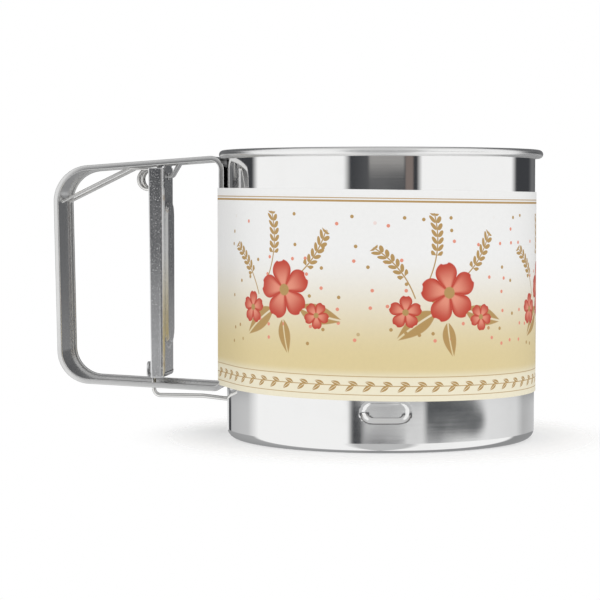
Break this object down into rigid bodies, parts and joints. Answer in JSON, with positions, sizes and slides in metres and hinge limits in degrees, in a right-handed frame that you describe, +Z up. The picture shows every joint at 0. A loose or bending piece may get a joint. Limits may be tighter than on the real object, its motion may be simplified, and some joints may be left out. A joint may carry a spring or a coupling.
{
  "type": "sugar sifter",
  "caption": "Stainless steel squeeze-handle sugar sifter with a curled rim, strip handle, sprung trigger, drive wire, star agitator, woven sieve and a printed card sleeve",
  "frame": {"origin": "On the cup's axis, at the plane that the cup's bottom lip stands on", "axes": "+Z is up along the cup's axis, -X points from the cup to the handle, and Y runs across the handle"},
  "size_m": [0.1593, 0.105, 0.093],
  "materials": {
    "polished_steel": "polished",
    "satin_steel": "satin",
    "mesh_steel": "satin",
    "spring_wire": "polished",
    "printed_card": "satin"
  },
  "bodies": {
    "cup": {"cup_body": "polished_steel", "sieve_ring": "polished_steel", "sieve_mesh": "mesh_steel", "mesh_retainer": "polished_steel", "support_bar": "satin_steel", "lower_washer": "satin_steel", "upper_washer": "satin_steel", "pivot_rivet": "satin_steel", "handle": "polished_steel", "return_spring": "spring_wire", "paper_sleeve": "printed_card"},
    "trigger": {"trigger": "polished_steel"},
    "wire": {"drive_wire": "satin_steel"},
    "agitator": {"agitator": "satin_steel"}
  },
  "joints": [
    {"name": "trigger_hinge", "type": "hinge", "parent": "cup", "child": "trigger", "pos_m": [-0.07065, 0, 0.08462], "axis": [0, 1, 0], "range_deg": [0, 17], "stiffness_Nm_per_rad": 0.35, "springref_deg": -20.05, "deforming": ["return_spring"]},
    {"name": "wire_slide", "type": "slide", "parent": "cup", "child": "wire", "axis": [-1, 0, 0], "range_m": [0, 0.0192]},
    {"name": "agitator_turn", "type": "hinge", "parent": "cup", "child": "agitator", "pos_m": [0, 0, 0.0055], "axis": [0, 0, 1], "range_deg": [0, 58.7]}
  ],
  "couplings": [
    {"joint": "wire_slide", "follows": "trigger_hinge", "m_per_rad": 0.064384},
    {"joint": "agitator_turn", "follows": "trigger_hinge", "ratio": 3.4505}
  ]
}
